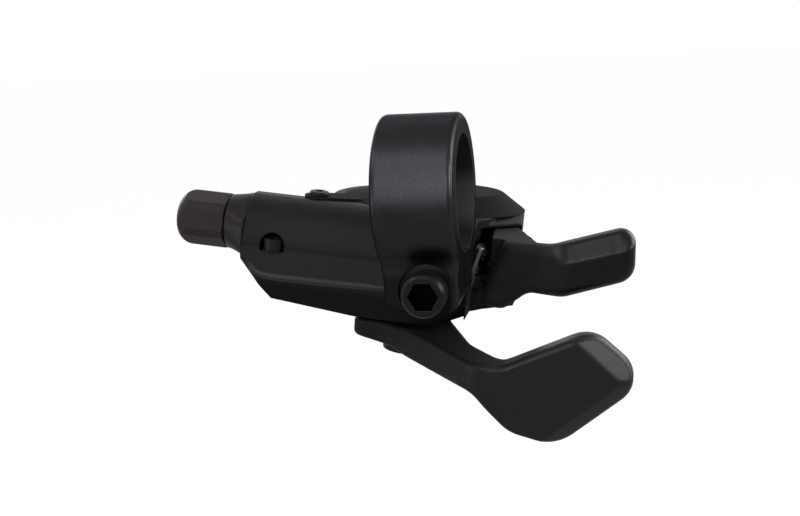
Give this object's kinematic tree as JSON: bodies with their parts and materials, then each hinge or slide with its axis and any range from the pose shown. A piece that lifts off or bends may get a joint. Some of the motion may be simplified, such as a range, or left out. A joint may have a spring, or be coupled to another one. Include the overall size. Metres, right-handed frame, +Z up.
{
  "type": "trigger gear shifter",
  "caption": "Right-hand trigger gear shifter for a flat handlebar: split clamp, housed cable spool with ratchet, thumb lever, release lever and barrel cable adjuster.",
  "frame": {"origin": "centre of the handlebar clamp bore, halfway along its width", "axes": "+X along the bar towards the grip, +Y forward away from the rider, +Z up"},
  "size_m": [0.0953, 0.0646, 0.0641],
  "materials": {
    "clamp_paint": "fine satin black anodised",
    "housing_plastic": "satin black moulding",
    "cover_plastic": "satin black moulding",
    "lever_plastic": "matt warm black moulding",
    "black_steel": "black oxide",
    "plain_steel": "zinc plated",
    "pawl_steel": "hardened",
    "spring_steel": "bright drawn wire",
    "sleeve_alloy": "black anodised",
    "bush_brass": "turned",
    "spool_plastic": "moulded"
  },
  "bodies": {
    "frame": {"axle_nut": "plain_steel", "axle_washer": "plain_steel", "base_plate": "plain_steel", "cable_neck": "lever_plastic", "clamp_band": "clamp_paint", "clamp_bolt": "black_steel", "clamp_nut": "plain_steel", "click_washer": "spring_steel", "cover_screws": "black_steel", "holding_pawl_pin": "plain_steel", "holding_pawl_spring": "spring_steel", "housing": "housing_plastic", "main_axle": "plain_steel", "neck_screw": "black_steel", "plate_screws": "plain_steel", "release_lever_pin": "plain_steel", "release_return_spring": "spring_steel", "spool_spring": "spring_steel", "thumb_return_spring": "spring_steel", "top_cover": "cover_plastic"},
    "spool": {"cable_spool": "spool_plastic", "spool_bush": "bush_brass"},
    "thumb": {"thumb_lever": "lever_plastic", "thumb_bush": "bush_brass", "drive_pawl_pin": "plain_steel", "drive_pawl_spring": "spring_steel"},
    "driver": {"drive_pawl": "pawl_steel"},
    "holder": {"holding_pawl": "pawl_steel"},
    "release": {"release_lever": "lever_plastic"},
    "barrel": {"barrel_adjuster": "lever_plastic"},
    "sleeve": {"adjuster_sleeve": "sleeve_alloy"}
  },
  "joints": [
    {"name": "thumb_lever_pivot", "type": "hinge", "parent": "frame", "child": "thumb", "pos_m": [-0.007, 0.03, -0.0068], "axis": [0.1392, 0, 0.9903], "range_deg": [0, 48], "stiffness_Nm_per_rad": 0.05, "springref_deg": -17.19},
    {"name": "spool_turn", "type": "hinge", "parent": "frame", "child": "spool", "pos_m": [-0.007, 0.03, -0.0068], "axis": [0.1392, 0, 0.9903], "range_deg": [0, 150], "stiffness_Nm_per_rad": 0.01, "springref_deg": -28.65},
    {"name": "drive_pawl_pivot", "type": "hinge", "parent": "thumb", "child": "driver", "pos_m": [-0.02077, 0.02343, -0.01597], "axis": [-0.1392, 0, -0.9903], "range_deg": [0, 8], "stiffness_Nm_per_rad": 0.0001, "springref_deg": -11.46},
    {"name": "release_lever_pivot", "type": "hinge", "parent": "frame", "child": "release", "pos_m": [0.00945, 0.03, -0.01618], "axis": [0.1392, 0, 0.9903], "range_deg": [0, 18], "stiffness_Nm_per_rad": 0.03, "springref_deg": -17.19},
    {"name": "holding_pawl_pivot", "type": "hinge", "parent": "frame", "child": "holder", "pos_m": [0.00283, 0.03803, -0.01929], "axis": [-0.1392, 0, -0.9903], "range_deg": [0, 10]},
    {"name": "barrel_turn", "type": "hinge", "parent": "frame", "child": "barrel", "pos_m": [-0.04534, 0.0188, -0.00798], "axis": [-0.9903, 0, 0.1392], "range_deg": [0, 1081]},
    {"name": "sleeve_slide", "type": "slide", "parent": "frame", "child": "sleeve", "axis": [-0.9903, 0, 0.1392], "range_m": [0, 0.0024]}
  ],
  "couplings": [
    {"joint": "holding_pawl_pivot", "follows": "release_lever_pivot", "ratio": 0.5},
    {"joint": "barrel_turn", "follows": "sleeve_slide", "rad_per_m": 7854}
  ]
}
